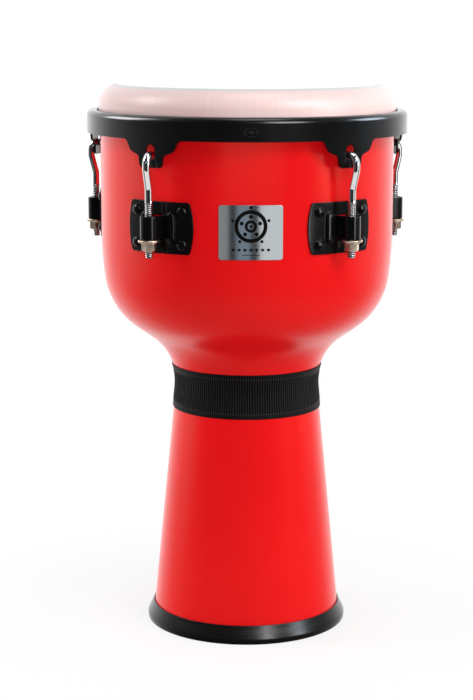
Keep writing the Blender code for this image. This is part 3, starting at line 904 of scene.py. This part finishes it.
def bracket_mesh():
    """Plate, strap and a rib at each side, melted together like one pressed piece."""
    ribs = [bent(rib_mesh(side * RIB_X), PLATE_SEAT, BRACKET_Z, 20) for side in (-1, 1)]
    whole = joined([bracket_plate(), bracket_strap()] + ribs)
    steps = [("REMESH", {"mode": "VOXEL", "voxel_size": 0.32 * MM, "use_smooth_shade": True}),
             ("SMOOTH", {"factor": 0.5, "iterations": 5}),
             ("DECIMATE", {"ratio": 0.25})]
    mesh = evaluated(whole, "lug_bracket", steps)
    mesh.shade_smooth()
    return mesh


def backing_mesh():
    plate = bent(rounded_plate(72.0, 48.0, 3.0, BACKING_THICK), BACKING_SEAT, BRACKET_Z)
    return soft_edges(plate, "backing_plate", 0.3, 2)


def turned_on_rod(outline, name, steps):
    """Solid of revolution about the rod's axis, modelled at the front."""
    angles = np.linspace(0, math.tau, steps + 1)[:-1, None]
    radii, heights = coordinates(outline)
    x, y = radii * np.cos(angles), radii * np.sin(angles)
    points = stacked(x * MM, (y - ROD_R) * MM, heights * MM + FLOOR)
    return grid_mesh(points, name)


def rivet_mesh(x, z):
    """Domed head with a thin brim, shank and formed tail, in place on the front bracket."""
    head_r, head_h, brim, shank_r, tail_r = 5.8, 3.8, 0.5, 2.4, 4.2
    face_r = PLATE_SEAT + PLATE_SHEET
    grip = face_r - BACKING_SEAT
    dome = [(head_r * 0.96 * math.sin(t), brim + (head_h - brim) * math.cos(t))
            for t in np.linspace(0, math.pi / 2, 9)]
    tail = [(tail_r, -grip), (tail_r * 0.95, -grip - 0.9), (tail_r * 0.7, -grip - 1.8),
            (0, -grip - 2.1)]
    outline = dome + [(head_r, 0.45), (head_r, 0.0), (shank_r, 0.0), (shank_r, -grip)] + tail
    angles = np.linspace(0, math.tau, 29)[:-1, None]
    radii, out = coordinates(outline)
    points = stacked(radii * np.cos(angles), -out, radii * np.sin(angles)) * MM
    mesh = grid_mesh(points, "lug_rivet", v_closed=False)
    angle = x / SHELL_R
    place = Matrix.Translation(polar(face_r, angle, BRACKET_Z + z)) @ Matrix.Rotation(angle, 4, "Z")
    mesh.transform(place)
    return mesh


def hook_path():
    """(distance from the drum's axis, height) along the rod above its thread."""
    turn = math.radians(55)
    bend = 7.0
    knee = HOOP_R - HOOP_SHEET - 0.8 - bend * math.tan(turn / 2)
    end = bend * math.tan(turn / 2) + 0.6
    corners = ((ROD_R, THREAD_TOP + 0.6, 0), (ROD_R, 500.0, 9.0), (HOOK_R, 519.0, 14.0),
               (HOOK_R, HOOK_Z, 9.5), (knee, HOOK_Z, bend),
               (knee - end * math.cos(turn), HOOK_Z - end * math.sin(turn), 0))
    return divided(rounded(corners, step=5.0, longest=1.0), 3.0)


def thread_rows(theta):
    """(distance out, height, tilt, radii) of the rings up the thread, which runs out at its top."""
    rows = []
    point, run_out = 1.1, 1.2
    for level in np.arange(ROD_TIP, THREAD_TOP, THREAD_PITCH / 12):
        phase = (level / THREAD_PITCH - theta / math.tau) % 1.0
        ridge = np.clip(1.35 * (1 - np.abs(2 * phase - 1)) - 0.15, 0, 1)
        full = min(1.0, (THREAD_TOP - level) / run_out)
        radius = THREAD_D / 2 - THREAD_DEPTH * (1 - ridge) * full
        radius = np.minimum(radius, THREAD_D / 2 - point + level - ROD_TIP)
        rows.append((ROD_R, level, 0.0, radius))
    return rows


def rod_rows():
    """The same for the plain rod, up to its bevelled end."""
    rows = []
    end_bevel = 0.8
    path = hook_path()
    lengths = np.cumsum([0] + [(b - a).length for a, b in zip(path, path[1:])])
    for i, point in enumerate(path):
        a, b = path[max(i - 1, 0)], path[min(i + 1, len(path) - 1)]
        tilt = math.atan2(b.x - a.x, b.y - a.y)
        left = lengths[-1] - lengths[i]
        rows.append((point.x, point.y, tilt, ROD_D / 2 - max(0.0, end_bevel - left)))
    return rows


def hook_mesh(chromed, root_shade):
    """M8 rod with a cut thread, cranked outward and bent over through the ear."""
    theta = np.linspace(0, math.tau, 33)[:-1]
    rings = []
    for r, z, tilt, radius in thread_rows(theta) + rod_rows():
        side, out = radius * np.cos(theta), radius * np.sin(theta)
        y = -(r + out * math.cos(tilt)) * MM
        up = (z - out * math.sin(tilt)) * MM + FLOOR
        rings.append(stacked(side * MM, y, up))
    mesh = skinned(rings, "tuning_hook", 50)
    mesh.materials.append(chromed)
    mesh.materials.append(root_shade)
    thread_top, groove_r = FLOOR + THREAD_TOP * MM, (THREAD_D / 2 - 0.45 * THREAD_DEPTH) * MM
    # Faces at the bottom of the thread take the dark material, painted shade in the thread roots.
    for face in mesh.polygons:
        x, y, z = face.center
        if z < thread_top and math.hypot(x, y + ROD_R * MM) < groove_r:
            face.material_index = 1
    rod = Matrix.Translation((0, -ROD_R * MM, 0))
    mesh.transform(rod @ Matrix.Rotation(math.radians(HOOK_TURN), 4, "Z") @ rod.inverted())
    return mesh


def washer_mesh():
    """Slightly dished washer with rounded rims."""
    outer, hole, thick, edge = 11.4, 4.4, 2.7, 0.9
    high = LOOP_LOW - 0.2
    low = high - thick
    corners = ((outer, low - 0.2, edge), (outer, high - 0.5, edge),
               (hole, high, 0.2), (hole, low, 0.2))
    return turned_on_rod(loop_rounded(corners, 20), "hook_washer", 64)


def nut_mesh(turn):
    """Hexagon nut at a turn about its rod: chamfered corners, a thin flange and a smooth bore."""
    flats, flange_r, flange_h, bore, bevel = 14.0, 8.9, 1.3, 4.15, 0.3
    low, high = ((corner.z - FLOOR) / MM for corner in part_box("tuning_nut_1"))
    high += 0.2
    neck = high - flange_h
    angles = np.linspace(0, math.tau, 97)[:-1]
    sixth = math.pi / 3
    from_flat = (angles - turn + sixth / 2) % sixth - sixth / 2
    hexagon = np.minimum(flats / 2 / np.cos(from_flat), flats / 2 * 1.135)
    rows = [(bore, low + 0.6), (bore + 0.6, low)]
    rows += [(np.minimum(hexagon, flats / 2 - 0.35 + rise * 1.4), low + rise)
             for rise in np.linspace(0, 1.2, 9)]
    rows += [(hexagon, neck - bevel), (flange_r - bevel, neck), (flange_r, neck + bevel),
             (flange_r, high - bevel), (flange_r - bevel, high), (bore, high)]
    rings = []
    for radius, level in rows:
        x, y = radius * np.cos(angles), radius * np.sin(angles) - ROD_R
        rings.append(stacked(x * MM, y * MM, level * MM + FLOOR))
    return grid_mesh(np.array(rings).transpose(1, 0, 2), "tuning_nut", sharp=25)


def make_lugs(black, steel, chromed, zinc):
    """All the pieces of every lug. Lugs share their meshes, except for the turn of the nuts."""
    bracket, backing, hook = bracket_mesh(), backing_mesh(), hook_mesh(chromed, thread_groove())
    washer = washer_mesh()
    rivets = [rivet_mesh(x, z) for x, z in RIVET_PLACES]
    for lug in range(LUGS):
        n, a = lug + 1, lug_angle(lug)
        piece(f"bracket_{n}", bracket, black, "shell", a, [f"lug_bracket_{n}"])
        piece(f"backing_{n}", backing, steel, "shell", a, [f"backing_plate_{n}"])
        piece(f"hook_{n}", hook, chromed, f"hook_{n}", a, [f"tuning_hook_{n}"])
        piece(f"washer_{n}", washer, zinc, "shell", a, [f"hook_washer_{n}"])
        nut = nut_mesh(math.radians(NUT_TURNS[lug]))
        piece(f"nut_{n}", nut, zinc, f"nut_{n}", a, [f"tuning_nut_{n}"])
        for letter, rivet in zip("abcd", rivets):
            piece(f"rivet_{n}{letter}", rivet, black, "shell", a,
                  [f"lug_rivet_{n}{letter}"])


# ---- Stage ----
def floor_material():
    """Pale, with a soft contact shadow near the drum, and glowing white away from it."""
    material, tree, bsdf, where, _ = shader("pale_floor")
    speckle = noise(tree, where, 30.0, 2.0)
    distance = put(tree, "VectorMath", {"operation": "LENGTH"}, i0=where).outputs["Value"]
    grey = ramp(tree, remap(tree, distance, 0.0, 1.0, 0.0, 2.0),
                ((0.0, 0.70), (0.08, 0.85), (0.2, 1.0)))
    far = put(tree, "RGBToBW", Color=grey).outputs[0]
    seen = put(tree, "LightPath").outputs["Is Camera Ray"]
    pale = mixed(tree, speckle, 0.90, 0.94)
    away = remap(tree, distance, 0.0, 1.0, 0.5, 1.5)
    bounce = mixed(tree, away, 0.78, 0.05)
    plug(tree, bsdf, Base_Color=mixed(tree, seen, bounce, pale), Roughness=0.6)
    glow = put(tree, "Emission", Color=(1, 1, 1, 1), Strength=1.0)
    blend = put(tree, "MixShader", Fac=maths(tree, "MULTIPLY", far, seen))
    tree.links.new(bsdf.outputs[0], blend.inputs[1])
    tree.links.new(glow.outputs[0], blend.inputs[2])
    output = tree.nodes["Material Output"]
    tree.links.new(blend.outputs[0], output.inputs["Surface"])
    return material


def make_floor():
    reach = 6.0
    corners = [(-reach, -reach, 0), (reach, -reach, 0), (reach, reach, 0), (-reach, reach, 0)]
    mesh = bpy.data.meshes.new("floor")
    mesh.from_pydata(corners, [], [(0, 1, 2, 3)])
    mesh.materials.append(floor_material())
    floor = added("floor", mesh)
    floor.location.z = FLOOR
    floor.visible_glossy = False


def area_light(name, azimuth, elevation, distance, size, power, aim=0.40, colour=(1, 1, 1)):
    """Softbox at an azimuth from the camera side, aimed at a height above the floor, in metres."""
    data = bpy.data.lights.new(name, "AREA")
    data.shape = "RECTANGLE"
    data.size, data.size_y = size
    data.energy = power
    data.color = colour
    light = added(name, data)
    a, e = math.radians(azimuth), math.radians(elevation)
    way = Vector((math.sin(a) * math.cos(e), -math.cos(a) * math.cos(e), math.sin(e)))
    target = Vector((0, 0, FLOOR + aim))
    light.location = target + way * distance
    light.rotation_euler = way.to_track_quat("Z", "Y").to_euler()
    return light


def make_world():
    """White to the camera. Everything else sees a glow that grows towards the far side."""
    world = bpy.data.worlds.new("studio")
    world.use_nodes = True
    tree = world.node_tree
    tree.nodes.clear()
    way = put(tree, "TexCoord").outputs["Generated"]
    parts = put(tree, "SeparateXYZ", Vector=way).outputs
    behind = maths(tree, "MULTIPLY_ADD", parts["X"], -0.05, parts["Y"])
    glow = ramp(tree, remap(tree, behind, 0.0, 1.0, -1.0, 1.0),
                ((0.0, 0.015), (0.24, 0.05), (0.44, 0.13), (0.54, 0.25), (0.70, 0.50),
                 (0.80, 0.95), (1.0, 1.4)))
    rays = put(tree, "LightPath").outputs
    glow = scaled(tree, glow, remap(tree, rays["Is Glossy Ray"], 0.6, 2.1))
    glow = scaled(tree, glow, remap(tree, parts["Z"], 0.5, 0.62, -0.2, -0.08))
    colour = mixed(tree, rays["Is Camera Ray"], glow, 1.0)
    background = put(tree, "Background", Color=colour, Strength=1.0)
    output = put(tree, "OutputWorld")
    tree.links.new(background.outputs[0], output.inputs[0])
    bpy.context.scene.world = world


def make_camera():
    """Camera a little above the middle of the drum, turned a degree towards its left side."""
    data = bpy.data.cameras.new("camera")
    data.lens = 96.36
    data.sensor_width = 36.0
    data.shift_x = -0.0145
    camera = added("camera", data)
    distance, height, azimuth, pitch, roll = 2.0585, 0.684, -1.45, 10.40, 0.13
    a = math.radians(azimuth)
    camera.location = (distance * math.sin(a), -distance * math.cos(a), FLOOR + height)
    turn = Matrix.Rotation(a, 4, "Z") @ Matrix.Rotation(math.radians(90 - pitch), 4, "X")
    camera.rotation_euler = (turn @ Matrix.Rotation(math.radians(roll), 4, "Z")).to_euler()
    bpy.context.scene.camera = camera
    view = bpy.context.scene.view_settings
    view.view_transform = "Standard"
    view.look = "None"


def link_cards(name, prefixes, cards):
    """Makes the cards light nothing but the objects whose names start with one of the prefixes."""
    lit = bpy.data.collections.new(name)
    for obj in bpy.context.scene.objects:
        if obj.name.startswith(prefixes):
            lit.objects.link(obj)
    for card in cards:
        card.visible_camera = False
        card.light_linking.receiver_collection = lit


def make_broad_lights():
    """Lights for the whole drum. The rim takes no light from the key and the right one."""
    key = area_light("key", 42, 40, 2.4, (0.9, 0.9), 24)
    right = area_light("right", 62, 12, 2.2, (0.5, 0.9), 10)
    area_light("left", -92, 36, 2.2, (0.7, 0.9), 17)
    diffuse = [area_light("front", 2, 8, 1.35, (1.1, 0.4), 6.8),
               area_light("side_left", -102, -2, 1.8, (1.0, 0.7), 15),
               area_light("side_right", 100, -2, 1.8, (1.0, 0.7), 10)]
    for light in diffuse:
        light.visible_glossy = False
    area_light("top", 20, 78, 1.6, (0.6, 0.6), 5)
    body = ("drum_shell", "drum_head", "drum_badge", "drum_waist", "drum_foot", "badge_ornament")
    link_cards("all_but_the_rim", body + BRACKETS + FITTINGS + ("floor",), [key, right])


def make_cards():
    """Lights that each shape the highlights of one group of pieces."""
    bluish = (0.70, 0.85, 1.0)
    link_cards("fittings", FITTINGS, [
        area_light("card_floor", 4, -36, 0.75, (2.2, 0.6), 3.4, aim=0.50),
        area_light("card_right", 52, 0, 2.0, (0.8, 0.8), 2.4, aim=0.50),
        area_light("card_upper", -8, 18, 2.0, (0.4, 0.5), 0.8, aim=0.50, colour=bluish)])
    link_cards("badge", ("drum_badge",), [
        area_light("badge_far_right", 62, 2, 2.0, (1.6, 3.2), 6),
        area_light("badge_far_left", -60, 2, 2.0, (1.6, 3.2), 6),
        area_light("badge_right", 20, 6, 2.0, (0.90, 3.0), 7.1),
        area_light("badge_left", -23, 6, 2.0, (0.60, 3.0), 1.8),
        area_light("badge_middle", -4, 6, 2.1, (0.40, 3.0), 1.25, colour=bluish)])
    link_cards("rim", ("drum_counterhoop",), [
        area_light("rim_left", -104, 22, 2.0, (1.0, 0.8), 30, aim=0.55),
        area_light("rim_front", 26, 22, 2.0, (0.8, 0.8), 24, aim=0.55),
        area_light("rim_right", 96, 20, 2.0, (0.9, 0.8), 32, aim=0.55, colour=bluish)])
    link_cards("brackets", BRACKETS, [
        area_light("bracket_front", 40, 4, 2.0, (0.3, 0.9), 9, aim=0.50)])
    link_cards("foot_ring", ("drum_foot_ring",), [
        area_light("ring_front", 24, 30, 2.0, (0.22, 1.4), 22, aim=0.02),
        area_light("ring_right", 64, 28, 2.0, (0.35, 1.4), 14, aim=0.02, colour=bluish)])
    link_cards("waist_band", ("drum_waist",), [
        area_light("band_front", 34, 4, 2.0, (0.5, 0.8), 9)])
    link_cards("film", ("drum_head",), [
        area_light("film_right", 62, 24, 2.0, (0.8, 0.8), 9.0, aim=0.60)])


def main():
    black, steel, enamel = black_powder_coat(), plain_steel(), black_enamel()
    make_shell(red_gelcoat(), shell_inside())
    make_head_film(film_material())
    make_flesh_hoop(steel)
    make_counterhoop(black)
    make_hoop_ornament(grey_mark())
    make_badge(brushed_aluminium())
    make_badge_ornament(enamel)
    make_waist_band(webbing())
    make_foot_ring(rubber())
    make_lugs(black_powder_coat("black_gloss", 0.15, 0.21, 0.32), steel, chrome(), yellow_zinc())
    make_floor()
    make_world()
    make_broad_lights()
    make_cards()
    make_camera()


main()
